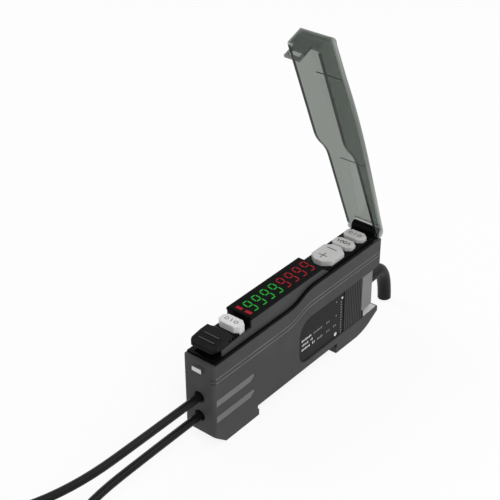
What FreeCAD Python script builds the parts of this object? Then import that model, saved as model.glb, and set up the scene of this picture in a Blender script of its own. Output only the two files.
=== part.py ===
import FreeCAD, Part
import math
import os

from FreeCAD import Vector

# Fibre optic sensor amplifier for a 35 mm mounting rail. Millimetres, +Z up, fibres leave along -X.
# Pieces are drawn with X measured from the front face and Z from the floor, then centred along X.

# Case
case_length = 73.2
case_width = 10.0
front_height = 26.0
rear_rise = 2.6
rise_start = 30.6
rise_end = 42.6
wall = 1.15
half = case_width / 2
inner_half = half - wall
front_corner_radius = 0.9
rear_corner_radius = 0.8
toe_length = 4.4
toe_height = 3.7

# Mounting rail seat and feet
rail_width = 35.0
rail_play = 0.6
rail_lip = 0.5
rail_lip_height = 1.9
rail_depth = 3.3
floor_top = rail_depth + 1.6
rail_front = 17.4
rear_foot_flat = 9.1
claw_tip_x = case_length - 0.6
claw_tip_low = 4.0
claw_tip_high = 5.9
claw_top = 5.6
claw_slot = 2.2
claw_slot_start = case_length - 7.9
band_bottom = front_height - 6.3
band_rear_low = front_height - 5.6

# Side recess, ribs, grooves and stripes
recess_depth = 0.5
recess_start = 35.2
recess_bottom = 5.4
recess_top_radius = 5.0
recess_low_radius = 3.8
rib_start = case_length - 17.0
rib_count = 10
rib_pitch = 0.86
rib_width = 0.42
rib_height = 0.38
groove_width = 0.28
groove_depth = 0.22
groove_drops = (4.0, 5.25)
stripe_length = 14.6
stripe_height = 2.1
stripe_depth = 0.15
stripe_drops = (12.95, 18.1)
label_thickness = 0.12
wrap_start = half - front_corner_radius - 0.2

# Catch nub and fibre ports
nub_width = 3.0
nub_height = 1.25
nub_depth = 0.7
nub_drop = 2.95
port_radius = 1.7
port_pitch = 6.0
lower_port = floor_top + 3.8
upper_port = lower_port + port_pitch

# Rear cap and power cable
cap_start = case_length - 8.25
cap_end = case_length - 2.9
cap_inset = 0.4
cable_height = 12.5
cable_radius = 2.05
grommet_radius = 2.8
crimp_radius = cable_radius + 0.45

# Top deck, display frame and window
slip = 0.1
flange_thickness = 0.6
flange_half = half - 0.25
deck_plug_half = inner_half - slip
deck_pocket_half = deck_plug_half - 0.6
tower_start = 15.8
tower_end = case_length - 27.2
tower_half = half - 1.45
tower_top = front_height + 5.3
tower_wall = 0.9
frame_wall = 0.45
frame_end = tower_end + 2.9
window_thickness = 0.9
rear_deck_top = front_height + 3.8
rear_deck_bottom = front_height + 2.7
set_deck_top = front_height + 3.4
set_deck_bottom = front_height + 2.35
bay_floor = front_height - 1.4

# Keys
key_play = 0.12
key_travel = 0.3
key_top = front_height + 5.3
stem_bottom = front_height + 1.95
set_x = tower_start - 2.75
set_length = 2 * (tower_half - 0.1)
set_width = 3.8
rocker_x = case_length - 19.2
rocker_length = 9.2
rocker_width = 2 * (tower_half - 0.05)
rocker_pivot_z = front_height + 3.25
trunnion_radius = 0.45
mode_x = case_length - 11.8
select_x = case_length - 6.4
small_key_length = 2 * (half - 1.7)
small_key_width = 3.9
small_key_top = front_height + 5.0

# Lock lever, clamp slider and optics
lever_pivot_x = tower_start - 7.0
lever_pivot_z = front_height + 3.0
lever_hub = 1.5
lever_top_rise = 0.4
lever_lip = 2.0
lever_front_drop = 0.55
lever_half = half - 0.95
lever_neck_half = half - 2.25
lever_tip = 1.1
lever_shoulder = lever_pivot_x - 1.6
lever_cover_plate = 0.5
grip_lines = (3.2, 5.2)
lever_plate = 1.0
pin_radius = 0.6
slider_x = lever_pivot_x - 3.4
slider_thickness = 2.2
optics_half = inner_half - 0.25
slider_half = optics_half - 1.2
slider_bottom = 5.5
slider_top = front_height + 1.1
clamp_lift = 0.9
fibre_radius = 1.1
fibre_end_x = 18.5
optics_end = 20.8

# Boards
board_thickness = 0.8
board_z = front_height + 0.2
board_top = board_z + board_thickness
main_board_thickness = 1.0
main_board_y = inner_half - 0.65 - main_board_thickness
main_board_start = optics_end + 4.2
connector_start = main_board_start + 3.0
connector_length = 10.0
chip_start = case_length - 33.2
chip_size = 7.0
capacitor_x = case_length - 18.2
capacitor_radius = 2.5

# Dust cover
cover_wall = 0.8
hinge_x = case_length - 1.3
hinge_z = front_height + 4.6
ear_radius = 1.6
hinge_pin_radius = 0.8
rest_angle = 68.0
cover_front = -1.0
cover_lines = (14.5, case_length - 26.7)
cover_heights = tuple(front_height + rise for rise in (6.9, 7.3, 7.87, 7.5, 6.2))
tongue_half = 2.3
tongue_bottom = front_height - 4.1

# Fibres, hanks and sensor heads
hank_centre = -106.0
hank_straight = 17.1
turn_outer = 8.8
turn_inner = 6.6
turn_rise = 2.25
turn_levels = 5
hank_margin = 0.1
head_radius = 2.0
head_length = 12.0
tip_radius = 1.3
tip_length = 3.0
lens_radius = 0.5
nut_across = 7.0
nut_thickness = 2.4

origin_x = (hinge_x + ear_radius - nub_depth) / 2


def box(x0, x1, y0, y1, z0, z1):
    return Part.makeBox(x1 - x0, y1 - y0, z1 - z0, Vector(x0, y0, z0))


def rod(radius, start, end):
    axis = Vector(*end) - Vector(*start)
    return Part.makeCylinder(radius, axis.Length, Vector(*start), axis)


def tube(outer, inner, start, end):
    return rod(outer, start, end).cut(rod(inner, start, end))


def side_face(edges):
    return Part.Face(Part.Wire(Part.__sortEdges__(edges)))


def side_prism(points, y0, y1):
    corners = [Vector(x, y0, z) for x, z in points]
    outline = Part.makePolygon(corners + corners[:1])
    return Part.Face(outline).extrude(Vector(0, y1 - y0, 0))


def plan_prism(points, z0, z1):
    corners = [Vector(x, y, z0) for x, y in points]
    outline = Part.makePolygon(corners + corners[:1])
    return Part.Face(outline).extrude(Vector(0, 0, z1 - z0))


def line(a, b):
    return Part.LineSegment(Vector(*a), Vector(*b)).toShape()


def arc(a, b, c):
    return Part.Arc(Vector(*a), Vector(*b), Vector(*c)).toShape()


def fillet_where(shape, radius, wanted):
    edges = [e for e in shape.Edges if wanted(e)]
    return shape.makeFillet(radius, edges)


def along(edge, axis):
    ends = [v.Point for v in edge.Vertexes]
    if len(ends) != 2 or edge.Curve.TypeId != "Part::GeomLine":
        return False
    step = ends[1] - ends[0]
    return abs(abs(step.dot(axis)) - step.Length) < 1e-6


def mirrored(shape):
    return shape.mirror(Vector(0, 0, 0), Vector(0, 1, 0))


def both_sides(shape):
    return [shape, mirrored(shape)]


def rise_edges(height, x0, x1, y, shift=0.0):
    """Edges of the case's rim line: level, two tangent arcs up by rear_rise, then level again."""
    a = rise_start + shift
    b = rise_end + shift
    run = b - a
    radius = (run * run + rear_rise * rear_rise) / (4 * rear_rise)
    middle = (a + b) / 2
    quarter = math.asin(run / 2 / radius) / 2
    low = (a + radius * math.sin(quarter), height + radius * (1 - math.cos(quarter)))
    top = height + rear_rise
    high = (b - radius * math.sin(quarter), top - radius * (1 - math.cos(quarter)))
    return [
        line((x0, y, height), (a, y, height)),
        arc((a, y, height), (low[0], y, low[1]), (middle, y, height + rear_rise / 2)),
        arc((middle, y, height + rear_rise / 2), (high[0], y, high[1]), (b, y, top)),
        line((b, y, top), (x1, y, top)),
    ]


def rise_band(low, high, x0, x1, y0, y1, shift=0.0):
    """A solid between two rim lines, low and high above the front edge."""
    bottom = front_height + low
    top = front_height + high
    edges = rise_edges(bottom, x0, x1, y0, shift) + rise_edges(top, x0, x1, y0, shift)
    edges.append(line((x0, y0, bottom), (x0, y0, top)))
    edges.append(line((x1, y0, bottom + rear_rise), (x1, y0, top + rear_rise)))
    return side_face(edges).extrude(Vector(0, y1 - y0, 0))


def below_rim(x0, x1, y0, y1, bottom, lift=0.0):
    """A solid from a level bottom up to the rim line."""
    height = front_height + lift
    edges = rise_edges(height, x0, x1, y0)
    edges.append(line((x0, y0, height), (x0, y0, bottom)))
    edges.append(line((x0, y0, bottom), (x1, y0, bottom)))
    edges.append(line((x1, y0, bottom), (x1, y0, height + rear_rise)))
    return side_face(edges).extrude(Vector(0, y1 - y0, 0))


def above_rim(x0, x1, y0, y1, top, lift=0.0):
    """A solid from the rim line up to a level top."""
    height = front_height + lift
    edges = rise_edges(height, x0, x1, y0)
    edges.append(line((x0, y0, height), (x0, y0, top)))
    edges.append(line((x0, y0, top), (x1, y0, top)))
    edges.append(line((x1, y0, top), (x1, y0, height + rear_rise)))
    return side_face(edges).extrude(Vector(0, y1 - y0, 0))


rail_rear = rail_front + rail_width + rail_play
front_lip = rail_front + rail_lip
rear_lip = rail_rear - rail_lip
foot_break = rear_lip + rear_foot_flat
slot_top = claw_top + claw_slot
rear_height = front_height + rear_rise
fibre_heights = {"emitter": upper_port, "receiver": lower_port}


def case_outline(y):
    lower = [
        (0, toe_height),
        (toe_length, 0),
        (front_lip, 0),
        (front_lip, rail_lip_height),
        (rail_front, rail_lip_height),
        (rail_front, rail_depth),
        (rail_rear, rail_depth),
        (rail_rear, rail_lip_height),
        (rear_lip, rail_lip_height),
        (rear_lip, 0),
        (foot_break, 0),
    ]
    claw = [
        (claw_tip_x, claw_tip_low),
        (claw_tip_x, claw_tip_high - 0.3),
        (claw_tip_x - 0.3, claw_tip_high),
        (claw_slot_start, claw_top),
        (claw_slot_start, slot_top),
        (cap_start - slip, slot_top),
        (cap_start - slip, band_bottom),
        (cap_end + 0.6, band_bottom),
        (case_length - 0.1, band_rear_low),
        (case_length, rear_height),
    ]
    edges = [line((a[0], y, a[1]), (b[0], y, b[1])) for a, b in zip(lower, lower[1:])]
    run = claw_tip_x - 2.6 - foot_break
    rise = claw_tip_low - 1.45
    radius = (run * run + rise * rise) / (2 * rise)
    middle = radius - math.sqrt(radius * radius - run * run / 4)
    edges.append(arc((foot_break, y, 0), (foot_break + run / 2, y, middle), (foot_break + run, y, rise)))
    edges.append(line((foot_break + run, y, rise), (claw_tip_x, y, claw_tip_low)))
    edges += [line((a[0], y, a[1]), (b[0], y, b[1])) for a, b in zip(claw, claw[1:])]
    edges += rise_edges(front_height, 0, case_length, y)
    edges.append(line((0, y, front_height), (0, y, toe_height)))
    return edges


def recess_outline(y, inset=0.0, end=cap_start):
    """The side recess: open at the rear, with two rounded corners at the front."""
    x0 = recess_start + inset
    low = recess_bottom + inset
    high = band_bottom - inset
    ra = recess_top_radius - inset
    rb = recess_low_radius - inset
    k = 1 - math.sqrt(0.5)
    return [
        line((end, y, low), (x0 + rb, y, low)),
        arc((x0 + rb, y, low), (x0 + rb * k, y, low + rb * k), (x0, y, low + rb)),
        line((x0, y, low + rb), (x0, y, high - ra)),
        arc((x0, y, high - ra), (x0 + ra * k, y, high - ra * k), (x0 + ra, y, high)),
        line((x0 + ra, y, high), (end, y, high)),
        line((end, y, high), (end, y, low)),
    ]


def nose_plan(x0, x1, reach, radius):
    """A tall plan-shaped solid whose two front corners are rounded."""
    k = radius * (1 - math.sqrt(0.5))
    a = x0 + radius
    b = reach - radius
    edges = [
        arc((x0, -b, 0), (x0 + k, -reach + k, 0), (a, -reach, 0)),
        line((a, -reach, 0), (x1, -reach, 0)),
        line((x1, -reach, 0), (x1, reach, 0)),
        line((x1, reach, 0), (a, reach, 0)),
        arc((a, reach, 0), (x0 + k, reach - k, 0), (x0, b, 0)),
        line((x0, b, 0), (x0, -b, 0)),
    ]
    return Part.Face(Part.Wire(edges)).extrude(Vector(0, 0, 3 * front_height))


def inset_plan(depth):
    """The case's plan with its rounded front corners, a given depth inside the outer face."""
    return nose_plan(depth, case_length + 2, half - depth, front_corner_radius - depth)


def make_case():
    body = side_face(case_outline(-half)).extrude(Vector(0, case_width, 0))
    up = Vector(0, 0, 1)

    def front_corner(e):
        return along(e, up) and abs(e.Vertexes[0].X) < 1e-6 and abs(abs(e.Vertexes[0].Y) - half) < 1e-6

    def rear_corner(e):
        low = e.Vertexes[0].Point
        return low.x > case_length - 0.2 and e.Length > 5 and abs(abs(low.y) - half) < 1e-6 \
            and abs(e.Vertexes[1].X - low.x) < 0.2

    body = fillet_where(body, front_corner_radius, front_corner)
    body = fillet_where(body, rear_corner_radius, rear_corner)

    # hollow inside, open at the top and towards the rear cap
    cavity = side_prism(
        [
            (wall, front_height + 10),
            (wall, toe_height + 0.6),
            (toe_length + 0.6, 1.3),
            (rail_front - 1.2, 1.3),
            (rail_front - 1.2, floor_top),
            (cap_start - 1.5, floor_top),
            (cap_start - 1.5, slot_top + 1.2),
            (cap_start + 1, slot_top + 1.2),
            (cap_start + 1, band_bottom - 1.2),
            (cap_start - 1.5, band_bottom - 1.2),
            (cap_start - 1.5, band_bottom + 1.2),
            (case_length - 4.0, band_bottom + 1.2),
            (case_length - 4.0, front_height + 10),
        ],
        -inner_half,
        inner_half,
    )
    body = body.cut([cavity, crimp_room()])

    # side recess with its ribs, groove lines and stripes, the same on both sides
    pocket = side_face(recess_outline(-half - 1)).extrude(Vector(0, 1 + recess_depth, 0))
    cuts = both_sides(pocket)
    for drop in groove_drops:
        band = rise_band(-drop - groove_width, -drop, -1, case_length + 1, -half - 1, -wrap_start, -1.4)
        cuts += both_sides(band.cut(inset_plan(groove_depth)))
    for drop in stripe_drops:
        z = front_height - drop
        points = [
            (front_corner_radius, z),
            (stripe_length, z),
            (stripe_length + 1.5, z + stripe_height * 0.6),
            (stripe_length + 1.3, z + stripe_height),
            (front_corner_radius, z + stripe_height),
        ]
        cuts += both_sides(side_prism(points, -half - 1, -half + stripe_depth))
    for height in fibre_heights.values():
        cuts.append(rod(port_radius, (-1, 0, height), (wall + 1, 0, height)))
    body = body.cut(Part.makeCompound(cuts))
    ribs = []
    for i in range(rib_count):
        x = rib_start + i * rib_pitch
        y = -half + recess_depth
        rib = box(x, x + rib_width, y - rib_height, y + 0.1, recess_bottom - 0.1, band_bottom + 0.1)
        ribs += both_sides(rib)
    z = front_height - nub_drop
    nub = [(0.1, z), (-nub_depth, z), (-nub_depth, z + nub_height * 0.6), (0.1, z + nub_height)]
    ribs.append(side_prism(nub, -nub_width / 2, nub_width / 2))
    body = body.fuse(ribs).removeSplitter()
    return body


def make_label():
    """A thin plate stuck in the near side's recess."""
    y = -half + recess_depth
    plate = side_face(recess_outline(y, 0.15, rib_start - 0.6))
    return plate.extrude(Vector(0, -label_thickness, 0))


def crimp_room():
    start = (cap_start - 3, 0, cable_height)
    return rod(crimp_radius + slip, start, (cap_start + 1.0, 0, cable_height))


def make_rear_cap():
    y = half - cap_inset
    bottom = slot_top + 0.05
    top = band_bottom - 0.05
    block = box(cap_start, cap_end, -y, y, bottom, top)

    def corner(e):
        return along(e, Vector(0, 0, 1)) and e.Vertexes[0].X > cap_end - 0.01

    block = fillet_where(block, rear_corner_radius, corner)
    plug_half = inner_half - slip
    plug = box(cap_start - 2.4, cap_start, -plug_half, plug_half, slot_top + 1.3, band_bottom - 1.3)
    side = plug_half - 0.9
    hollow = box(cap_start - 3, cap_start + 1.0, -side, side, slot_top + 2.2, band_bottom - 2.2)
    bore = rod(grommet_radius, (cap_start, 0, cable_height), (cap_end + 1, 0, cable_height))
    cuts = Part.makeCompound([hollow, bore, crimp_room()])
    return block.fuse(plug).cut(cuts).removeSplitter()


def make_grommet():
    start = (cap_start + 1.0, 0, cable_height)
    return tube(grommet_radius - 0.03, cable_radius + 0.03, start, (cap_end, 0, cable_height))


def make_crimp():
    start = (cap_start - 1.6, 0, cable_height)
    return tube(crimp_radius, cable_radius + 0.03, start, (cap_start + 0.4, 0, cable_height))


def octagon(x, length_x, length_y, cut):
    a = length_x / 2
    b = length_y / 2
    return [
        (x - a, -b + cut),
        (x - a + cut * 0.8, -b),
        (x + a - cut * 0.8, -b),
        (x + a, -b + cut),
        (x + a, b - cut),
        (x + a - cut * 0.8, b),
        (x - a + cut * 0.8, b),
        (x - a, b - cut),
    ]


def make_key(x, length_x, length_y, cut, plate_bottom, top):
    """A key cap with a rounded top edge and two tabs that keep it under the deck."""
    cap = plan_prism(octagon(x, length_x, length_y, cut), plate_bottom - 0.1, top)
    cap = fillet_where(cap, 0.3, lambda e: all(abs(v.Z - top) < 1e-6 for v in e.Vertexes))
    stem = box(x - 1.0, x + 1.0, -1.5, 1.5, stem_bottom, plate_bottom)
    reach = length_x / 2 + key_play + 0.3
    tabs = box(x - reach, x + reach, -1.2, 1.2, plate_bottom - 0.45, plate_bottom - 0.15)
    return cap.fuse([stem, tabs]).removeSplitter()


def make_small_key(x):
    return make_key(x, small_key_width, small_key_length, small_cut, rear_deck_bottom, small_key_top)


def key_well(x, length_x, length_y, cut, bottom, top):
    points = octagon(x, length_x + 2 * key_play, length_y + 2 * key_play, cut)
    return plan_prism(points, bottom - 0.5, top + 1)


frame_bars = (tower_start + tower_wall, tower_end - 0.2 - frame_wall * 2)
set_cut = 1.2
small_cut = 1.3
rocker_cut = 2.3
tilt_room = 0.25


def make_rocker():
    """The plus and minus key: one plate that tips about two side trunnions."""
    top = key_top
    outline = octagon(rocker_x, rocker_length, rocker_width, rocker_cut)
    body = plan_prism(outline, rear_deck_bottom + 0.25, top)
    body = fillet_where(body, 0.35, lambda e: all(abs(v.Z - top) < 1e-6 for v in e.Vertexes))
    feet = []
    for x in (rocker_x - 2.9, rocker_x + 2.9):
        feet.append(box(x - 0.8, x + 0.8, -1.2, 1.2, stem_bottom, rear_deck_bottom + 0.3))
    reach = rocker_width / 2 + 0.45
    axle = rod(trunnion_radius, (rocker_x, -reach, rocker_pivot_z), (rocker_x, reach, rocker_pivot_z))
    return body.fuse(feet + [axle]).removeSplitter()


def make_deck():
    """The black top deck: a flange on the case's rim, a skirt inside it and the raised parts above."""
    end = case_length - 0.3
    flange = rise_band(0, flange_thickness, wall + slip, end, -flange_half, flange_half)
    skirt = below_rim(wall + slip, case_length - 4.1, -deck_plug_half, deck_plug_half, bay_floor, 0.1)
    room = below_rim(wall + 1, case_length - 4.9, -deck_pocket_half, deck_pocket_half, bay_floor - 1, 0.0)
    low_deck = above_rim(tower_start - 5.35, tower_end + 3, -tower_half, tower_half, set_deck_top, 0.2)
    tower = above_rim(tower_start, tower_end, -tower_half, tower_half, tower_top, 0.2)
    rear_half = lever_half
    rear = box(tower_end + 3, hinge_x - 1.9, -rear_half, rear_half, rear_height, rear_deck_top)
    bridge = box(tower_end - 0.1, tower_end + 3.1, -tower_half, tower_half, rear_height, rear_deck_top)
    deck = flange.fuse([skirt, low_deck, tower, rear, bridge])
    deck = deck.cut(room)

    # rooms under the keys and through the display tower
    ph = deck_pocket_half
    side = tower_half - 0.6
    cuts = [
        box(tower_start - 4.9, tower_start - 0.1, -ph, ph, bay_floor - 1, set_deck_bottom),
        box(tower_start - 4.9, tower_start + tower_wall + 0.1, -ph, ph, bay_floor - 1, board_top + 0.3),
        box(tower_start + tower_wall, tower_end - tower_wall, -side, side, bay_floor - 1, tower_top + 1),
        box(tower_start + tower_wall, tower_end - tower_wall, -ph, ph, bay_floor - 1, board_top + 0.2),
        box(tower_end - 0.5, case_length - 4.9, -ph, ph, bay_floor - 1, rear_deck_bottom),
        box(case_length - 5.0, case_length - 3.85, -1.4, 1.4, stem_bottom - 0.1, rear_deck_bottom),
        box(tower_start - 5.15, tower_start - 4.8, -1.4, 1.4, stem_bottom - 0.5, set_deck_bottom),
        key_well(set_x, set_width, set_length, set_cut, stem_bottom, set_deck_top),
        key_well(mode_x, small_key_width, small_key_length, small_cut, stem_bottom, rear_deck_top),
        key_well(select_x, small_key_width, small_key_length, small_cut, stem_bottom, rear_deck_top),
    ]
    rocker_points = octagon(rocker_x, rocker_length + 2 * tilt_room, rocker_width + 0.3, rocker_cut)
    cuts.append(plan_prism(rocker_points, stem_bottom - 0.45, rear_deck_top + 1))
    reach = rocker_width / 2 + 0.5
    bearing = trunnion_radius + 0.06
    cuts.append(rod(bearing, (rocker_x, -reach, rocker_pivot_z), (rocker_x, reach, rocker_pivot_z)))
    slot = box(rocker_x - 0.45, rocker_x + 0.45, -reach, reach, stem_bottom + 0.05, rocker_pivot_z)
    cuts.append(slot)
    # the open bay under the lock lever, with a way through its floor for the clamp slider
    cuts.append(box(wall + 0.9, lever_pivot_x + 1.6, -ph, ph, bay_floor + 0.8, lever_pivot_z))
    for notch in frame_bars:
        cuts.append(box(notch, notch + frame_wall * 2, -half, half, tower_top - 0.9, tower_top + 1))
    # the flange stands back from the cover's ears
    for y in (-half, flange_half - 0.75):
        cuts.append(box(hinge_x - 2.6, case_length, y, y + 1, rear_height - 0.2, rear_height + 2))
    deck = deck.cut(Part.makeCompound(cuts))
    bay_plate = box(wall + 0.9, lever_pivot_x + 1.65, -ph - 0.1, ph + 0.1, bay_floor, bay_floor + 0.8)
    room = slider_half + 0.2
    way = box(slider_x - 0.2, slider_x + slider_thickness + 0.2, -room, room, bay_floor - 1, bay_floor + 2)
    ears = []
    for y0, y1 in ((-tower_half, 0.65 - tower_half), (tower_half - 0.65, tower_half)):
        ear = box(lever_pivot_x - 1.3, lever_pivot_x + 1.5, y0, y1, front_height, lever_pivot_z)
        head = rod(1.3, (lever_pivot_x, y0, lever_pivot_z), (lever_pivot_x, y1, lever_pivot_z))
        ears += [ear, head]
    block_half = half - cover_wall - 0.25
    knuckle = rod(1.35, (hinge_x, -block_half, hinge_z), (hinge_x, block_half, hinge_z))
    pillar = box(hinge_x - 1.35, hinge_x + 0.9, -block_half, block_half, rear_height, hinge_z)
    deck = deck.fuse([bay_plate.cut(way)] + ears + [knuckle, pillar])
    pivot = (lever_pivot_x, -half, lever_pivot_z)
    bores = [rod(pin_radius + 0.02, pivot, (lever_pivot_x, half, lever_pivot_z))]
    for s in (-1, 1):
        start = (hinge_x, s * (block_half + 0.5), hinge_z)
        bores.append(rod(hinge_pin_radius + 0.08, start, (hinge_x, s * (block_half - 0.95), hinge_z)))
    return deck.cut(Part.makeCompound(bores)).removeSplitter()


def make_frame():
    """The grey frame: two long walls beside the display, low rails in front and two end bars."""
    pieces = []
    y = tower_half + 0.05
    wall_top = tower_top - 0.02
    foot = flange_thickness + 0.03
    side = above_rim(tower_start + 0.3, frame_end, y, y + frame_wall, wall_top, foot)
    last = frame_end + 0.1
    first = tower_end - 0.2
    slope = side_prism([(first, wall_top + 0.1), (last, wall_top + 0.1), (last, set_deck_top)], 0, half)
    side = side.cut(slope)
    rail_end = tower_start + 0.4
    rail = [
        (4.6, front_height + foot),
        (4.6, front_height + 2.5),
        (rail_end, front_height + 3.0),
        (rail_end, front_height + foot),
    ]
    side = side.fuse(side_prism(rail, y, y + frame_wall))
    pieces += both_sides(side)
    for x in frame_bars:
        far = x + frame_wall * 2 - 0.05
        pieces.append(box(x + 0.05, far, -y - 0.1, y + 0.1, tower_top - 0.85, wall_top))
    return pieces[0].fuse(pieces[1:]).removeSplitter()


def make_window():
    top = tower_top + window_thickness
    plate = box(tower_start, tower_end, -lever_half, lever_half, tower_top, top)
    upper = [e for e in plate.Edges if e.BoundBox.ZMin > top - 1e-6]
    return plate.makeChamfer(0.22, upper)


def make_display(x0, x1):
    """One four-digit module with shallow digit wells in its face."""
    base = board_top
    side = tower_half - 0.75
    module = box(x0, x1, -side, side, base, tower_top - 0.2)
    pitch = (x1 - x0) / 4
    wells = []
    for i in range(4):
        a = x0 + (i + 0.18) * pitch
        wells.append(box(a, a + 0.64 * pitch, 0.7 - side, side - 0.7, tower_top - 0.35, tower_top))
    return module.cut(Part.makeCompound(wells))


def make_bar_lamps():
    base = board_top
    x0 = tower_start + tower_wall + 0.3
    starts = (0.95 - tower_half, tower_half - 3.25)
    return Part.makeCompound([box(x0, x0 + 1.5, y, y + 2.3, base, tower_top - 1.0) for y in starts])


def make_switch(x):
    """A small push switch on the display board, its plunger just under the key's stem."""
    base = board_top
    body = box(x - 1.5, x + 1.5, -1.5, 1.5, base, base + 0.35)
    plunger = rod(0.7, (x, 0, base + 0.3), (x, 0, stem_bottom - key_travel - 0.05))
    return body.fuse(plunger).removeSplitter()


def make_display_board():
    side = deck_pocket_half - 0.25
    return box(tower_start - 4.4, case_length - 5.2, -side, side, board_z, board_top)


def make_main_board():
    y = main_board_y
    end = case_length - 11.2
    return box(main_board_start, end, y, y + main_board_thickness, rail_depth + 2.7, bay_floor - 0.1)


def make_connector():
    y = main_board_y
    x1 = connector_start + connector_length
    return box(connector_start, x1, y - 1.6, y, bay_floor - 2.0, board_z - 0.02)


def make_chip():
    y = main_board_y
    low = floor_top + 6.1
    body = box(chip_start, chip_start + chip_size, y - 1.0, y, low, low + chip_size)
    return body.makeChamfer(0.2, [e for e in body.Edges if all(v.Y < y - 0.9 for v in e.Vertexes)])


def make_capacitor():
    x = capacitor_x
    y = main_board_y - capacitor_radius - 0.02
    low = floor_top + 2.1
    top = low + 7.0
    can = rod(capacitor_radius, (x, y, low), (x, y, top))
    return can.makeChamfer(0.35, [e for e in can.Edges if e.BoundBox.ZMin > top - 0.1])


def make_optical_block():
    """The black block that holds the fibre ends in line with the lamp and the photodiode."""
    x0 = wall + 0.2
    block = box(x0, optics_end, -optics_half, optics_half, floor_top + 0.05, upper_port + 3.6)
    room = slider_half + 0.15
    cuts = [box(slider_x - 0.15, slider_x + slider_thickness + 0.15, -room, room, 0, front_height)]
    for height in fibre_heights.values():
        cuts.append(rod(fibre_radius + 0.08, (0, 0, height), (fibre_end_x + 0.3, 0, height)))
        cuts.append(rod(1.8, (0, 0, height), (x0 + 1.5, 0, height)))
        cuts.append(rod(1.6, (fibre_end_x + 0.25, 0, height), (optics_end + 1, 0, height)))
    return block.cut(Part.makeCompound(cuts))


def make_port_seal(height):
    x0 = wall + 0.2
    seal = tube(1.77, fibre_radius + 0.03, (x0, 0, height), (x0 + 1.45, 0, height))
    return seal


def make_emitter():
    """A domed lamp of 3 mm with its collar against the optics board."""
    x0 = fibre_end_x + 0.4
    dome = Part.makeCone(0.7, 1.45, 1.0, Vector(x0, 0, upper_port), Vector(1, 0, 0))
    body = rod(1.45, (x0 + 1.0, 0, upper_port), (optics_end + 1.2, 0, upper_port))
    collar = rod(1.75, (optics_end + 0.1, 0, upper_port), (optics_end + 1.2, 0, upper_port))
    return body.fuse([dome, collar]).removeSplitter()


def make_photodiode():
    x0 = fibre_end_x + 0.6
    body = rod(1.45, (x0, 0, lower_port), (optics_end + 0.2, 0, lower_port))
    base = box(optics_end + 0.1, optics_end + 1.2, -2.0, 2.0, lower_port - 2.0, lower_port + 2.0)
    return body.fuse(base).removeSplitter()


def make_optics_board():
    x0 = optics_end + 1.22
    side = inner_half - 0.55
    return box(x0, x0 + 0.8, -side, side, rail_depth + 2.3, upper_port + 4.8)


def make_slider():
    """The clamp slider: a plate with one window for each fibre, pressed down by the lever's boss."""
    x1 = slider_x + slider_thickness
    plate = box(slider_x, x1, -slider_half, slider_half, slider_bottom, slider_top)
    windows = []
    for height in fibre_heights.values():
        low = height - fibre_radius - clamp_lift - 0.2
        windows.append(box(slider_x - 1, x1 + 1, -1.5, 1.5, low, height + fibre_radius + 0.05))
    return plate.cut(Part.makeCompound(windows))


def make_spring():
    """The slider's return spring, on the floor of the front foot."""
    x = slider_x + slider_thickness / 2
    bottom = 1.3
    wire = 0.17
    coil_radius = 0.8
    height = slider_bottom - bottom - 2 * wire - 0.04
    turns = 4
    steps = 10 * turns
    points = []
    for i in range(steps + 1):
        angle = 2 * math.pi * turns * i / steps
        rise = bottom + wire + 0.02 + height * i / steps
        points.append(Vector(x + coil_radius * math.cos(angle), coil_radius * math.sin(angle), rise))
    start = points[1] - points[0]
    turns_round = [math.radians(60 * i) for i in range(7)]
    hexagon = [Vector(wire * math.cos(a), 0, wire * math.sin(a)) for a in turns_round]
    ring = Part.makePolygon(hexagon)
    ring.Placement = FreeCAD.Placement(points[0], FreeCAD.Rotation(Vector(0, 1, 0), start))
    spring = Part.Wire(Part.makePolygon(points)).makePipeShell([ring], True, False, 1)
    return spring


def make_lever():
    """The fibre lock lever, closed: a hub on its pin, a broad plate, a turned-down tip and a cam boss."""
    px = lever_pivot_x
    pz = lever_pivot_z
    top = pz + lever_hub + lever_top_rise
    under = top - lever_plate
    front = top - lever_front_drop
    tip = [
        (px, pz + lever_hub),
        (px - 1.2, top),
        (px - 3.0, top),
        (lever_tip + 1.4, front),
        (lever_tip + 0.3, front - 0.4),
        (lever_tip, front - 0.9),
        (lever_tip + 0.1, top - lever_lip),
        (lever_tip + 0.9, top - lever_lip),
        (lever_tip + 1.3, under - 0.35),
        (lever_tip + 2.0, under - 0.2),
        (px, under),
    ]
    arm = side_prism(tip, -lever_half, lever_half)
    h = lever_half
    plan = nose_plan(lever_tip - 0.05, lever_shoulder, h, 1.7)
    neck = box(lever_shoulder - 0.1, px, -lever_neck_half, lever_neck_half, 0, 3 * front_height)
    arm = arm.common(plan.fuse(neck))
    hub = rod(lever_hub, (px, -lever_neck_half, pz), (px, lever_neck_half, pz))
    # a thin full-width plate passes over the two ears of the deck
    low = top - lever_cover_plate
    over_ears = [(lever_shoulder - 0.3, low), (px, low), (px - 0.3, top), (lever_shoulder - 0.3, top)]
    ear_plate = side_prism(over_ears, -h, h)
    skirts = []
    skirt = 0.45
    for y in (-h, h - skirt):
        skirt_low = top - lever_lip
        skirts.append(box(lever_tip + 1.6, lever_shoulder, y, y + skirt, skirt_low, under + 0.2))
    boss_end = slider_x + slider_thickness - 0.1
    boss = box(slider_x + 0.1, boss_end, -slider_half, slider_half, slider_top + 0.15, under + 0.1)
    grips = []
    for x in grip_lines:
        slope = lever_front_drop * max(0.0, px - 3.0 - x) / (px - 4.4 - lever_tip)
        height = top - slope
        grips.append(box(x, x + 0.3, -lever_neck_half, lever_neck_half, height - 0.15, height + 0.14))
    lever = arm.fuse([hub, ear_plate, boss] + skirts + grips).removeSplitter()
    return lever.cut(rod(pin_radius + 0.06, (px, -half, pz), (px, half, pz)))


def make_lever_pin():
    reach = tower_half - 0.35
    return rod(pin_radius, (lever_pivot_x, -reach, lever_pivot_z), (lever_pivot_x, reach, lever_pivot_z))


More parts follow.
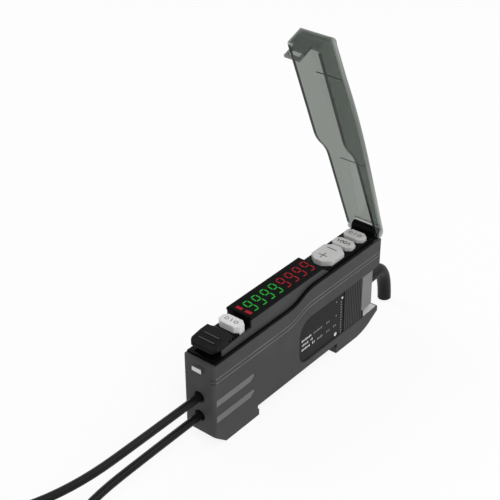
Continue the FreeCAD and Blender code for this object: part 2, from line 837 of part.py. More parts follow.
def cover_top_edges(y, drop, front):
    """The cover's roof line, front to rear: a rounded nose and a low arch between two straight parts."""
    h = [value - drop for value in cover_heights]
    nose = front + 3.6
    a, b = cover_lines
    return [
        arc((front, y, h[0] - 2.4), (front + 0.95, y, h[0] - 0.55), (nose, y, h[0])),
        line((nose, y, h[0]), (a, y, h[1])),
        arc((a, y, h[1]), ((a + b) / 2, y, h[2]), (b, y, h[3])),
        line((b, y, h[3]), (hinge_x, y, h[4])),
    ]


def turned_open(shape):
    turned = shape.copy()
    turned.rotate(Vector(hinge_x, 0, hinge_z), Vector(0, 1, 0), rest_angle)
    return turned


def make_cover():
    """The dust cover, drawn closed and then turned open by rest_angle: a deep channel with a stepped rim."""
    rim = flange_thickness + 0.1
    low = front_height + rim
    edges = cover_top_edges(-half, 0, cover_front)
    edges.append(line((hinge_x, -half, cover_heights[4]), (hinge_x, -half, low + rear_rise)))
    edges += rise_edges(low, cover_front, hinge_x, -half)
    edges.append(line((cover_front, -half, low), (cover_front, -half, cover_heights[0] - 2.4)))
    shell = side_face(edges).extrude(Vector(0, case_width, 0))
    shell = shell.common(nose_plan(cover_front, hinge_x + 5, half, 1.5))
    ear = rod(ear_radius, (hinge_x, -half, hinge_z), (hinge_x, half, hinge_z))
    shell = shell.fuse(ear)
    ih = half - cover_wall
    front = cover_front + cover_wall + 0.05
    inner = cover_top_edges(-ih, cover_wall, front)
    last = cover_heights[4] - cover_wall
    bottom = front_height - 3
    inner.append(line((hinge_x, -ih, last), (hinge_x, -ih, bottom)))
    inner.append(line((hinge_x, -ih, bottom), (front, -ih, bottom)))
    inner.append(line((front, -ih, bottom), (front, -ih, cover_heights[0] - cover_wall - 2.4)))
    hollow = side_face(inner).extrude(Vector(0, 2 * ih, 0))
    gap = box(hinge_x - 1.75, hinge_x + 3, -ih, ih, bottom, hinge_z + 10)
    panel_top = cover_heights[1] - cover_wall + 0.15
    panel = box(cover_lines[0], cover_lines[1], -ih + 0.6, ih - 0.6, lever_pivot_z, panel_top)
    shell = shell.cut(Part.makeCompound([hollow, gap, panel]))
    tongue = box(cover_front, cover_front + cover_wall, -tongue_half, tongue_half, tongue_bottom, low + 0.4)
    z = front_height - nub_drop
    room = nub_width / 2 + 0.25
    catch = box(cover_front - 1, 1, -room, room, z - 0.25, z + nub_height + 0.3)
    pins = []
    for s in (-1, 1):
        inner_end = (hinge_x, s * (ih - 0.95), hinge_z)
        pins.append(rod(hinge_pin_radius, inner_end, (hinge_x, s * (ih + 0.1), hinge_z)))
    shell = shell.fuse([tongue] + pins).cut(catch).removeSplitter()
    return turned_open(shell)


def route(points, diameter, name):
    """A cord's centre line: straight runs joined by tangent arcs as large as the runs allow."""
    corners = [Vector(*p) for p in points]
    edges = []
    start = corners[0]
    radii = []
    for before, at, after in zip(corners, corners[1:], corners[2:]):
        into = (at - before).normalize()
        out = (after - at).normalize()
        turn = into.getAngle(out)
        shorter = min((at - before).Length, (after - at).Length)
        reach = 0.45 * shorter
        radius = reach / math.tan(turn / 2)
        radii.append(radius)
        a = at - into * reach
        b = at + out * reach
        towards = (out - into).normalize()
        middle = at + towards * (radius / math.cos(turn / 2) - radius)
        edges.append(Part.LineSegment(start, a).toShape())
        edges.append(Part.Arc(a, middle, b).toShape())
        start = b
    edges.append(Part.LineSegment(start, corners[-1]).toShape())
    path = Part.Wire(edges)
    shown = ", ".join(f"{r:.1f}" for r in radii)
    print(f"{name}: length {path.Length:.1f} mm, diameter {diameter}, bend radii {shown}")
    return path


def make_cord(points, radius, name):
    path = route(points, 2 * radius, name)
    start = Vector(*points[0])
    along_start = Vector(*points[1]) - start
    ring = Part.Wire(Part.makeCircle(radius, start, along_start))
    cord = path.makePipeShell([ring], True, False)
    ratio = cord.Volume / (math.pi * radius * radius * path.Length)
    print(f"{name}: volume over section times length {ratio:.4f}")
    return cord


# Routes of the free cords. The two fibres run straight out of the ports and on to their hanks.
power_cable_points = [
    (cap_start - 2.35, 0, cable_height),
    (case_length - 0.6, 0, cable_height),
    (case_length + 10.1, 0, cable_height + 0.4),
    (case_length + 10.7, 0, 0.7),
]
fibre_points = {
    "emitter": [
        (fibre_end_x, 0, upper_port),
        (-17.0, 0, upper_port),
        (-45.0, 0.4, 14.8),
        (-66.0, 7.6, 16.6),
        (-82.3, 8.8, 17.0),
    ],
    "receiver": [
        (fibre_end_x, 0, lower_port),
        (-17.0, 0, lower_port),
        (-43.0, -0.4, 8.4),
        (-65.0, -7.5, 6.2),
        (-82.3, -8.8, 5.65),
    ],
}
tail_points = {
    "emitter": [
        (-129.8, 8.8, 14.7),
        (-138.0, 8.5, 13.3),
        (-147.5, 6.6, 7.2),
        (-155.0, 5.1, 4.2),
        (-161.5, 4.6, 3.5),
    ],
    "receiver": [(-129.8, -8.8, 3.4), (-139.5, -8.3, 3.3), (-151.0, -5.5, 3.4), (-161.5, -4.6, 3.5)],
}


def make_hank(bottom):
    """The outer shape of one wound hank: a ring of two round ends and two straight sides."""
    height = turn_levels * turn_rise + 0.05
    rings = []
    for r in (turn_outer + fibre_radius + hank_margin, turn_inner - fibre_radius - hank_margin):
        centres = (hank_centre - hank_straight, hank_centre + hank_straight)
        ends = [Part.makeCylinder(r, height, Vector(x, 0, bottom)) for x in centres]
        bar = box(hank_centre - hank_straight, hank_centre + hank_straight, -r, r, bottom, bottom + height)
        rings.append(ends[0].fuse([ends[1], bar]).removeSplitter())
    return rings[0].cut(rings[1])


def make_head(side):
    """A threaded sensor head lying along X, with a thinner lens thread and the fibre's end at its tip."""
    x0, y, z = tail_points[side][-1]
    shoulder = x0 - head_length
    body = rod(head_radius, (x0 - 0.2, y, z), (shoulder, y, z))
    body = body.makeChamfer(0.25, [e for e in body.Edges if e.Curve.TypeId == "Part::GeomCircle"])
    tip = rod(tip_radius, (shoulder + 0.1, y, z), (shoulder - tip_length, y, z))
    end = rod(lens_radius, (shoulder - tip_length - 1, y, z), (shoulder - tip_length + 0.4, y, z))
    return body.fuse(tip).cut(end).removeSplitter()


def make_nuts(side):
    x0, y, z = tail_points[side][-1]
    nuts = []
    for start in (x0 - 2.0, x0 - 5.6):
        corner = nut_across / math.sqrt(3)
        turns_round = [math.radians(60 * i) for i in range(7)]
        points = [(y + corner * math.cos(a), z + corner * math.sin(a)) for a in turns_round]
        hexagon = Part.Face(Part.makePolygon([Vector(start, p, q) for p, q in points]))
        nut = hexagon.extrude(Vector(-nut_thickness, 0, 0))
        nuts.append(nut.cut(rod(head_radius + 0.03, (start + 1, y, z), (start - nut_thickness - 1, y, z))))
    return Part.makeCompound(nuts)


def build():
    module_start = tower_start + tower_wall + 2.2
    module_split = module_start + 12.5
    parts = {
        "case": make_case(),
        "side_label": make_label(),
        "rear_cap": make_rear_cap(),
        "cable_grommet": make_grommet(),
        "cable_crimp": make_crimp(),
        "top_deck": make_deck(),
        "display_frame": make_frame(),
        "display_window": make_window(),
        "green_display": make_display(module_start, module_split),
        "red_display": make_display(module_split + 0.3, tower_end - tower_wall - 0.2),
        "bar_lamps": make_bar_lamps(),
        "display_board": make_display_board(),
        "main_board": make_main_board(),
        "board_connector": make_connector(),
        "controller_chip": make_chip(),
        "capacitor": make_capacitor(),
        "set_key": make_key(set_x, set_width, set_length, set_cut, set_deck_bottom, key_top),
        "mode_key": make_small_key(mode_x),
        "select_key": make_small_key(select_x),
        "plus_minus_rocker": make_rocker(),
        "optical_block": make_optical_block(),
        "emitter_lamp": make_emitter(),
        "photodiode": make_photodiode(),
        "optics_board": make_optics_board(),
        "clamp_slider": make_slider(),
        "clamp_spring": make_spring(),
        "lock_lever": make_lever(),
        "lever_pin": make_lever_pin(),
        "dust_cover": make_cover(),
        "power_cable": make_cord(power_cable_points, cable_radius, "power cable"),
    }
    switches = {
        "set": set_x,
        "plus": rocker_x - 2.9,
        "minus": rocker_x + 2.9,
        "mode": mode_x,
        "select": select_x,
    }
    for name, x in switches.items():
        parts[name + "_switch"] = make_switch(x)
    for i, (side, height) in enumerate(fibre_heights.items()):
        parts[side + "_port_seal"] = make_port_seal(height)
        parts[side + "_fibre"] = make_cord(fibre_points[side], fibre_radius, side + " fibre")
        parts[side + "_fibre_tail"] = make_cord(tail_points[side], fibre_radius, side + " fibre tail")
        parts[side + "_fibre_hank"] = make_hank((1 - i) * (turn_levels * turn_rise + 0.1))
        parts[side + "_head"] = make_head(side)
        parts[side + "_head_nuts"] = make_nuts(side)
    return parts


os.makedirs("parts", exist_ok=True)
for name, shape in build().items():
    shape.translate(Vector(-origin_x, 0, 0))
    shape.exportStep(f"parts/{name}.step")
    solids = len(shape.Solids)
    print(f"{name}: {solids} solid(s), valid {shape.isValid()}, volume {shape.Volume:.2f}")
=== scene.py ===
import bpy
import bmesh
import math
from mathutils import Matrix, Vector


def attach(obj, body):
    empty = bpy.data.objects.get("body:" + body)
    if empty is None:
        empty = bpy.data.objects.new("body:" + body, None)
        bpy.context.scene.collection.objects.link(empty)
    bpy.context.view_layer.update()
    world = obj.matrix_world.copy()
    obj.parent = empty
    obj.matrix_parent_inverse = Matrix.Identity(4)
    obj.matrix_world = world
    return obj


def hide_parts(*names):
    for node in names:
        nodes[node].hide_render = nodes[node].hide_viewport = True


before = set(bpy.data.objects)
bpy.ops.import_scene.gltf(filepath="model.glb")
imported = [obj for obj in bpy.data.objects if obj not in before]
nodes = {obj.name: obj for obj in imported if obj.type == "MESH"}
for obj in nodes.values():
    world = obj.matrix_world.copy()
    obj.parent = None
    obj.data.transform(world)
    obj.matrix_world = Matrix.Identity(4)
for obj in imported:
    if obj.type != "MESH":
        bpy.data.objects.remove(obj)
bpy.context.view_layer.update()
frontX = -0.0364  # the case's front face; every X below is measured from it, in mm
print("frame loaded:", len(nodes), "nodes")


def place(x, y, z):
    return Vector((frontX + x / 1000, y / 1000, z / 1000))


def deselectAll():
    if bpy.context.object and bpy.context.object.mode != "OBJECT":
        bpy.ops.object.mode_set(mode="OBJECT")
    bpy.ops.object.select_all(action="DESELECT")


# camera, at the photograph's place
cameraView = {
    "azimuth": -50.35,
    "elevation": 32.39,
    "roll": -0.44,
    "lens": 91.4,
    "position": (-185.15, -170.52, 218.05),
    "sensor": 36,
    "clip": (0.01, 20),
}


def addCamera():
    a = math.radians(cameraView["azimuth"])
    e = math.radians(cameraView["elevation"])
    r = math.radians(cameraView["roll"])
    back = Vector((math.sin(a) * math.cos(e), -math.cos(a) * math.cos(e), math.sin(e)))
    right = Vector((math.cos(a), math.sin(a), 0))
    up = back.cross(right)
    turnedRight = right * math.cos(r) + up * math.sin(r)
    turnedUp = up * math.cos(r) - right * math.sin(r)
    matrix = Matrix((turnedRight, turnedUp, back)).transposed().to_4x4()
    matrix.translation = place(*cameraView["position"])
    data = bpy.data.cameras.new("photoCamera")
    data.lens = cameraView["lens"]
    data.sensor_width = cameraView["sensor"]
    data.clip_start, data.clip_end = cameraView["clip"]
    camera = bpy.data.objects.new("photoCamera", data)
    bpy.context.scene.collection.objects.link(camera)
    camera.matrix_world = matrix
    bpy.context.scene.camera = camera


# materials: one builder for the moulded and painted ones, and one dictionary of finishes
finishes = {
    "bodyPlastic": {
        "colour": (0.056, 0.0555, 0.057), "rough": 0.55, "gloss": 0.14,
        "grain": 0.30, "grainSize": 0.35, "spread": 0.08,
    },
    "capPlastic": {
        "colour": (0.205, 0.202, 0.198), "rough": 0.52, "gloss": 0.25,
        "grain": 0.28, "grainSize": 0.35, "spread": 0.06,
    },
    "deckPlastic": {
        "colour": (0.0030, 0.0030, 0.0032), "rough": 0.40, "gloss": 0.05,
        "grain": 0.12, "grainSize": 0.3, "spread": 0.15,
    },
    "framePlastic": {
        "colour": (0.048, 0.048, 0.050), "rough": 0.46, "gloss": 0.15,
        "grain": 0.18, "grainSize": 0.3, "spread": 0.08,
    },
    "leverPlastic": {
        "colour": (0.0060, 0.0060, 0.0065), "rough": 0.44, "gloss": 0.06,
        "grain": 0.20, "grainSize": 0.3, "spread": 0.12,
    },
    "keyRubber": {
        "colour": (0.50, 0.50, 0.49), "rough": 0.60, "gloss": 0.3,
        "grain": 0.16, "grainSize": 0.25, "spread": 0.05,
    },
    "setRubber": {
        "colour": (0.68, 0.68, 0.67), "rough": 0.57, "gloss": 0.3,
        "grain": 0.16, "grainSize": 0.25, "spread": 0.05,
    },
    "labelFilm": {
        "colour": (0.0105, 0.0105, 0.0110), "rough": 0.40, "gloss": 0.08,
        "grain": 0.06, "grainSize": 0.5, "spread": 0.08,
    },
    "stripePlastic": {
        "colour": (0.150, 0.149, 0.148), "rough": 0.48, "gloss": 0.25,
        "grain": 0.24, "grainSize": 0.3, "spread": 0.06,
    },
    # painted highlight: the pale line along each groove under the rim
    "grooveHighlight": {
        "colour": (0.175, 0.175, 0.173), "rough": 0.50, "gloss": 0.25,
        "grain": 0.10, "grainSize": 0.4, "spread": 0.25,
    },
    "paleInk": {
        "colour": (0.72, 0.72, 0.70), "rough": 0.50, "gloss": 0.3,
        "grain": 0.05, "grainSize": 0.2, "spread": 0.12,
    },
    "dimInk": {
        "colour": (0.24, 0.24, 0.235), "rough": 0.50, "gloss": 0.3,
        "grain": 0.05, "grainSize": 0.2, "spread": 0.30,
    },
    "greyInk": {
        "colour": (0.115, 0.115, 0.115), "rough": 0.55, "gloss": 0.25,
        "grain": 0.05, "grainSize": 0.2, "spread": 0.15,
    },
    "blackInk": {
        "colour": (0.022, 0.022, 0.022), "rough": 0.55, "gloss": 0.25,
        "grain": 0.05, "grainSize": 0.2, "spread": 0.2,
    },
    # pale plates on the catch nub's face and on the claw's top, much lighter than the body
    "paleFaceTone": {
        "colour": (0.66, 0.66, 0.65), "rough": 0.45, "gloss": 0.35,
        "grain": 0.12, "grainSize": 0.3, "spread": 0.06,
    },
    "coverLine": {
        "colour": (0.004, 0.0055, 0.0045), "rough": 0.35, "gloss": 0.3,
        "grain": 0.08, "grainSize": 0.4, "spread": 0.15,
    },
    # pale strips along the lever's grip lines, lighter than the lever
    "paleGripStrips": {
        "colour": (0.052, 0.052, 0.054), "rough": 0.5, "gloss": 0.2,
        "grain": 0.1, "grainSize": 0.3, "spread": 0.2,
    },
    "windowPlastic": {
        "colour": (0.0016, 0.0016, 0.0018), "rough": 0.24, "gloss": 0.03,
        "grain": 0.03, "grainSize": 0.8, "spread": 0.2,
    },
    # painted shade: near-black, laid between the ribs where their shade falls
    "ribGapShade": {
        "colour": (0.0045, 0.0045, 0.0048), "rough": 0.6, "gloss": 0.05,
        "grain": 0.2, "grainSize": 0.3, "spread": 0.15,
    },
    "boardMask": {
        "colour": (0.006, 0.05, 0.018), "rough": 0.32, "gloss": 0.4,
        "grain": 0.08, "grainSize": 0.6, "spread": 0.30,
    },
    "chipResin": {
        "colour": (0.006, 0.006, 0.0066), "rough": 0.45, "gloss": 0.2,
        "grain": 0.20, "grainSize": 0.2, "spread": 0.10,
    },
    "sealRubber": {
        "colour": (0.007, 0.007, 0.007), "rough": 0.66, "gloss": 0.2,
        "grain": 0.20, "grainSize": 0.25, "spread": 0.12,
    },
    "cableJacket": {
        "colour": (0.0050, 0.0050, 0.0054), "rough": 0.42, "gloss": 0.16,
        "grain": 0.16, "grainSize": 0.5, "spread": 0.15,
    },
    "fibreJacket": {
        "colour": (0.0040, 0.0040, 0.0044), "rough": 0.36, "gloss": 0.16,
        "grain": 0.12, "grainSize": 0.4, "spread": 0.15,
    },
    "tieStrap": {
        "colour": (0.055, 0.055, 0.057), "rough": 0.45, "gloss": 0.3,
        "grain": 0.15, "grainSize": 0.3, "spread": 0.12,
    },
}
# how fine the grain and the colour clouds are, how much larger the clouds are than the grain, where
# on the noise the two colours lie, how far the roughness swings and how deep the grain is in metres
noiseDetail = {
    "grain": 3,
    "cloud": 2,
    "cloudSize": 24,
    "rampEnds": (0.3, 0.7),
    "roughSwing": 0.06,
    "bumpDepth": 0.00006,
}


def newMaterial(name):
    material = bpy.data.materials.new(name)
    material.use_nodes = True
    tree = material.node_tree
    return material, tree, tree.nodes["Principled BSDF"]


def mappedNoise(tree, size, detail):
    coords = tree.nodes.new("ShaderNodeTexCoord")
    mapping = tree.nodes.new("ShaderNodeMapping")
    noise = tree.nodes.new("ShaderNodeTexNoise")
    noise.inputs["Scale"].default_value = 1000 / size
    noise.inputs["Detail"].default_value = detail
    tree.links.new(coords.outputs["Object"], mapping.inputs["Vector"])
    tree.links.new(mapping.outputs["Vector"], noise.inputs["Vector"])
    return noise


def colourClouds(tree, noise, low, high):
    ramp = tree.nodes.new("ShaderNodeValToRGB")
    stops = ramp.color_ramp.elements
    for stop, position, colour in zip(stops, noiseDetail["rampEnds"], (low, high)):
        stop.position = position
        stop.color = (*colour, 1)
    tree.links.new(noise.outputs["Fac"], ramp.inputs["Fac"])
    return ramp


def roughRange(tree, noise, shader, low, high):
    sheen = tree.nodes.new("ShaderNodeMapRange")
    sheen.inputs["To Min"].default_value = low
    sheen.inputs["To Max"].default_value = high
    tree.links.new(noise.outputs["Fac"], sheen.inputs["Value"])
    tree.links.new(sheen.outputs["Result"], shader.inputs["Roughness"])


def fineBump(tree, noise, shader, strength):
    bump = tree.nodes.new("ShaderNodeBump")
    bump.inputs["Strength"].default_value = strength
    bump.inputs["Distance"].default_value = noiseDetail["bumpDepth"]
    tree.links.new(noise.outputs["Fac"], bump.inputs["Height"])
    tree.links.new(bump.outputs["Normal"], shader.inputs["Normal"])


def mouldedPlastic(name):
    finish = finishes[name]
    material, tree, shader = newMaterial(name)
    grain = mappedNoise(tree, finish["grainSize"], noiseDetail["grain"])
    cloud = mappedNoise(tree, finish["grainSize"] * noiseDetail["cloudSize"], noiseDetail["cloud"])
    low = [c * (1 - finish["spread"]) for c in finish["colour"]]
    high = [c * (1 + finish["spread"]) for c in finish["colour"]]
    ramp = colourClouds(tree, cloud, low, high)
    tree.links.new(ramp.outputs["Color"], shader.inputs["Base Color"])
    shader.inputs["Specular IOR Level"].default_value = finish["gloss"]
    swing = noiseDetail["roughSwing"]
    roughRange(tree, grain, shader, finish["rough"] - swing, finish["rough"] + swing)
    fineBump(tree, grain, shader, finish["grain"])
    return material


clearFinishes = {
    "smokedPlastic": {
        "colour": (0.030, 0.040, 0.032), "spread": 0.08, "cloudSize": 6,
        "rough": 0.09, "roughSwing": 0.03, "gloss": 0.5,
        "alpha": 0.30, "endAlpha": 0.56, "edgeAlpha": 0.66,
        "depthColour": (0.22, 0.30, 0.22), "depth": 600,
    },
}
# "open" is the cover's angle at rest, and the last five say where its denser places begin and over
# what band; the bands and the near face are in metres, the other lengths in mm
coverHinge = {
    "x": 71.9,
    "z": 30.6,
    "open": 68.0,
    "endWall": 71.95,
    "endBand": 0.0001,
    "roof": 1.85,
    "roofBand": 0.0003,
    "nearFace": 0.00485,
}


def measuredAlong(tree, source, direction, start, width, low, high):
    reach = tree.nodes.new("ShaderNodeVectorMath")
    reach.operation = "DOT_PRODUCT"
    reach.inputs[1].default_value = direction
    ramp = tree.nodes.new("ShaderNodeMapRange")
    ramp.inputs["From Min"].default_value = start
    ramp.inputs["From Max"].default_value = start + width
    ramp.inputs["To Min"].default_value = low
    ramp.inputs["To Max"].default_value = high
    tree.links.new(source, reach.inputs[0])
    tree.links.new(reach.outputs["Value"], ramp.inputs["Value"])
    return ramp.outputs["Result"]


# the cover looks denser at its end wall and where its near wall runs into the roof: its alpha rises
# with the distance from the hinge, and on the near face with the height above the roof's inner face
def denserEdges(tree, shader, finish):
    turn = math.radians(coverHinge["open"])
    along = Vector((-math.cos(turn), 0, math.sin(turn)))
    above = Vector((math.sin(turn), 0, math.cos(turn)))
    hinge = place(coverHinge["x"], 0, coverHinge["z"])
    coords = tree.nodes.new("ShaderNodeTexCoord")
    where = coords.outputs["Object"]
    band = coverHinge["endBand"]
    endStart = hinge.dot(along) + coverHinge["endWall"] / 1000
    base = measuredAlong(tree, where, along, endStart, band, finish["alpha"], finish["endAlpha"])
    roofStart = hinge.dot(above) + coverHinge["roof"] / 1000
    more = finish["edgeAlpha"] - finish["alpha"]
    high = measuredAlong(tree, where, above, roofStart, coverHinge["roofBand"], 0, more)
    side = measuredAlong(tree, where, (0, -1, 0), coverHinge["nearFace"], band, 0, 1)
    onSide = tree.nodes.new("ShaderNodeMath")
    onSide.operation = "MULTIPLY"
    tree.links.new(side, onSide.inputs[0])
    tree.links.new(high, onSide.inputs[1])
    total = tree.nodes.new("ShaderNodeMath")
    total.operation = "ADD"
    tree.links.new(base, total.inputs[0])
    tree.links.new(onSide.outputs[0], total.inputs[1])
    tree.links.new(total.outputs[0], shader.inputs["Alpha"])


def clearPlastic(name):
    finish = clearFinishes[name]
    material, tree, shader = newMaterial(name)
    cloud = mappedNoise(tree, finish["cloudSize"], noiseDetail["cloud"])
    low = [c * (1 - finish["spread"]) for c in finish["colour"]]
    high = [c * (1 + finish["spread"]) for c in finish["colour"]]
    ramp = colourClouds(tree, cloud, low, high)
    tree.links.new(ramp.outputs["Color"], shader.inputs["Base Color"])
    shader.inputs["Specular IOR Level"].default_value = finish["gloss"]
    denserEdges(tree, shader, finish)
    swing = finish["roughSwing"]
    roughRange(tree, cloud, shader, finish["rough"] - swing, finish["rough"] + swing)
    absorb = tree.nodes.new("ShaderNodeVolumeAbsorption")
    absorb.inputs["Color"].default_value = (*finish["depthColour"], 1)
    absorb.inputs["Density"].default_value = finish["depth"]
    tree.links.new(absorb.outputs["Volume"], tree.nodes["Material Output"].inputs["Volume"])
    return material


metalFinish = {
    "colour": (0.36, 0.355, 0.345),
    "shades": (0.85, 1.1),
    "roughRange": (0.22, 0.40),
    "grainSize": 0.25,
}


def platedMetal():
    material, tree, shader = newMaterial("platedMetal")
    shader.inputs["Metallic"].default_value = 1
    grain = mappedNoise(tree, metalFinish["grainSize"], noiseDetail["grain"])
    low, high = [[c * shade for c in metalFinish["colour"]] for shade in metalFinish["shades"]]
    ramp = colourClouds(tree, grain, low, high)
    tree.links.new(ramp.outputs["Color"], shader.inputs["Base Color"])
    roughRange(tree, grain, shader, *metalFinish["roughRange"])
    return material


litFinishes = {
    "greenLit": {"colour": (0.008, 0.27, 0.020), "glow": 0.55},
    "redLit": {"colour": (0.24, 0.0012, 0.006), "glow": 0.55},
    "lampResin": {"colour": (0.35, 0.02, 0.015), "glow": 0.0},
}
litSurface = {"cloudSize": 1.2, "shade": 0.85, "gloss": 0.1, "rough": 0.4}


def litResin(name):
    finish = litFinishes[name]
    material, tree, shader = newMaterial(name)
    cloud = mappedNoise(tree, litSurface["cloudSize"], noiseDetail["cloud"])
    low = [c * litSurface["shade"] for c in finish["colour"]]
    ramp = colourClouds(tree, cloud, low, finish["colour"])
    tree.links.new(ramp.outputs["Color"], shader.inputs["Base Color"])
    tree.links.new(ramp.outputs["Color"], shader.inputs["Emission Color"])
    shader.inputs["Emission Strength"].default_value = finish["glow"]
    shader.inputs["Specular IOR Level"].default_value = litSurface["gloss"]
    shader.inputs["Roughness"].default_value = litSurface["rough"]
    return material


materials = {name: mouldedPlastic(name) for name in finishes}
materials.update({name: clearPlastic(name) for name in clearFinishes})
materials.update({name: litResin(name) for name in litFinishes})
materials["platedMetal"] = platedMetal()

nodeFinish = {
    "case": "bodyPlastic", "side_label": "labelFilm", "rear_cap": "capPlastic",
    "cable_grommet": "sealRubber", "cable_crimp": "platedMetal",
    "top_deck": "deckPlastic", "display_frame": "framePlastic",
    "display_window": "windowPlastic", "green_display": "chipResin", "red_display": "chipResin",
    "bar_lamps": "lampResin", "display_board": "boardMask", "main_board": "boardMask",
    "board_connector": "chipResin", "controller_chip": "chipResin", "capacitor": "platedMetal",
    "set_key": "setRubber", "mode_key": "keyRubber", "select_key": "keyRubber",
    "plus_minus_rocker": "keyRubber",
    "optical_block": "deckPlastic", "emitter_lamp": "lampResin", "photodiode": "chipResin",
    "optics_board": "boardMask", "clamp_slider": "leverPlastic", "clamp_spring": "platedMetal",
    "lock_lever": "leverPlastic", "lever_pin": "platedMetal", "dust_cover": "smokedPlastic",
    "power_cable": "cableJacket",
}
for name in ("set", "plus", "minus", "mode", "select"):
    nodeFinish[name + "_switch"] = "platedMetal"
for side in ("emitter", "receiver"):
    nodeFinish[side + "_port_seal"] = "sealRubber"
    nodeFinish[side + "_head"] = "platedMetal"
    nodeFinish[side + "_head_nuts"] = "platedMetal"
    for part in ("_fibre", "_fibre_tail", "_fibre_hank"):
        nodeFinish[side + part] = "fibreJacket"


def finishNode(name, finish):
    node = nodes[name]
    if not node.material_slots:
        node.data.materials.append(materials[finish])
    for slot in node.material_slots:
        slot.material = materials[finish]


for name, finish in nodeFinish.items():
    finishNode(name, finish)
print("materials given to", len(nodeFinish), "nodes")


# modelling helpers: a blank is added, shaped in edit mode and put in its place, in mm
blankDetail = {"discSides": 28, "segmentSides": 6, "cornerSegments": 3}


def selectVerts(piece, test):
    bpy.ops.mesh.select_mode(type="VERT")
    bpy.ops.mesh.select_all(action="DESELECT")
    mesh = bmesh.from_edit_mesh(piece.data)
    for vert in mesh.verts:
        vert.select = test(vert.co * 1000)
    mesh.select_flush(True)
    bmesh.update_edit_mesh(piece.data)


def raiseBlank(thickness):
    bpy.ops.mesh.select_all(action="SELECT")
    bpy.ops.mesh.extrude_region_move(TRANSFORM_OT_translate={"value": (0, 0, thickness / 1000)})
    bpy.ops.mesh.select_all(action="SELECT")
    bpy.ops.mesh.normals_make_consistent(inside=False)
    bpy.ops.object.mode_set(mode="OBJECT")
    return bpy.context.object


def hollowFace(wall):
    bpy.ops.mesh.select_mode(type="FACE")
    bpy.ops.mesh.select_all(action="SELECT")
    bpy.ops.mesh.inset(thickness=wall / 1000)
    bpy.ops.mesh.delete(type="FACE")


def plateBlank(lengthX, lengthY, thickness, corner, wall=0.0):
    deselectAll()
    bpy.ops.mesh.primitive_plane_add(size=0.001)
    bpy.ops.object.mode_set(mode="EDIT")
    bpy.ops.transform.resize(value=(lengthX, lengthY, 1))
    segments = blankDetail["cornerSegments"]
    bpy.ops.mesh.bevel(offset=corner / 1000, segments=segments, affect="VERTICES")
    if wall:
        hollowFace(wall)
    return raiseBlank(thickness)


def discBlank(radius, thickness, hole=0.0):
    deselectAll()
    sides = blankDetail["discSides"]
    bpy.ops.mesh.primitive_circle_add(vertices=sides, radius=radius / 1000, fill_type="NGON")
    bpy.ops.object.mode_set(mode="EDIT")
    if hole:
        hollowFace(radius - hole)
    return raiseBlank(thickness)


def segmentBlank(length, width, thickness):
    deselectAll()
    sides = blankDetail["segmentSides"]
    bpy.ops.mesh.primitive_circle_add(vertices=sides, radius=width / 2000, fill_type="NGON")
    piece = bpy.context.object
    bpy.ops.object.mode_set(mode="EDIT")
    for way in (1, -1):
        selectVerts(piece, lambda co: co.y * way > 0)
        bpy.ops.transform.translate(value=(0, way * (length - width) / 2000, 0))
    return raiseBlank(thickness)


def copyOf(piece):
    twin = piece.copy()
    twin.data = piece.data.copy()
    bpy.context.scene.collection.objects.link(twin)
    return twin


def putAt(piece, at, turn=(0, 0, 0), stretch=(1, 1, 1)):
    deselectAll()
    piece.scale = stretch
    piece.rotation_euler = turn
    piece.location = at
    bpy.context.view_layer.objects.active = piece
    piece.select_set(True)
    bpy.ops.object.transform_apply(location=True, rotation=True, scale=True)
    return piece


def joinPieces(pieces, name, body, finish):
    deselectAll()
    for piece in pieces:
        piece.select_set(True)
    bpy.context.view_layer.objects.active = pieces[0]
    if len(pieces) > 1:
        bpy.ops.object.join()
    whole = bpy.context.view_layer.objects.active
    whole.name = name
    whole.data.name = name
    whole.data.materials.clear()
    whole.data.materials.append(materials[finish])
    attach(whole, body)
    return whole


# sensor heads: a threaded body and a thinner lens thread, turned from one circle; the threads are
# rings, and "crestShares" says where in a pitch the crest starts, where it ends and where the root
# is back
sensorHead = {
    "startX": -161.3,
    "length": 12.2,
    "tipLength": 3.0,
    "bodyCrest": 2.0,
    "bodyRoot": 1.74,
    "bodyPitch": 0.7,
    "tipCrest": 1.3,
    "tipRoot": 1.12,
    "tipPitch": 0.45,
    "faceRadius": 1.5,
    "chamfer": 0.25,
    "lens": 0.5,
    "lensDepth": 0.4,
    "crestShares": (0.35, 0.5, 0.85),
    "sides": 28,
    "smoothAngle": 25,
    "places": {"emitter": (4.6, 3.5), "receiver": (-4.6, 3.5)},
}


def threadSteps(start, end, crest, root, pitch):
    rise, flat, fall = sensorHead["crestShares"]
    steps = []
    for i in range(int((end - start) / pitch)):
        s = start + i * pitch
        steps += [(s, root), (s + pitch * rise, crest), (s + pitch * flat, crest)]
        steps.append((s + pitch * fall, root))
    return steps


def turnProfile(name, steps):
    deselectAll()
    sides = sensorHead["sides"]
    bpy.ops.mesh.primitive_circle_add(vertices=sides, radius=steps[0][1] / 1000, fill_type="NGON")
    piece = bpy.context.object
    piece.name = name
    bpy.ops.object.mode_set(mode="EDIT")
    bpy.ops.mesh.select_mode(type="FACE")
    bpy.ops.mesh.select_all(action="SELECT")
    for before, after in zip(steps, steps[1:]):
        rise = (after[0] - before[0]) / 1000
        grow = after[1] / before[1]
        bpy.ops.mesh.extrude_region_move(TRANSFORM_OT_translate={"value": (0, 0, rise)})
        bpy.ops.transform.resize(value=(grow, grow, 1), center_override=(0, 0, after[0] / 1000))
    bpy.ops.mesh.inset(thickness=(steps[-1][1] - sensorHead["lens"]) / 1000)
    sink = -sensorHead["lensDepth"] / 1000
    bpy.ops.mesh.extrude_region_move(TRANSFORM_OT_translate={"value": (0, 0, sink)})
    bpy.ops.mesh.select_all(action="SELECT")
    bpy.ops.mesh.normals_make_consistent(inside=False)
    bpy.ops.object.mode_set(mode="OBJECT")
    bpy.ops.object.shade_smooth_by_angle(angle=math.radians(sensorHead["smoothAngle"]))
    return piece


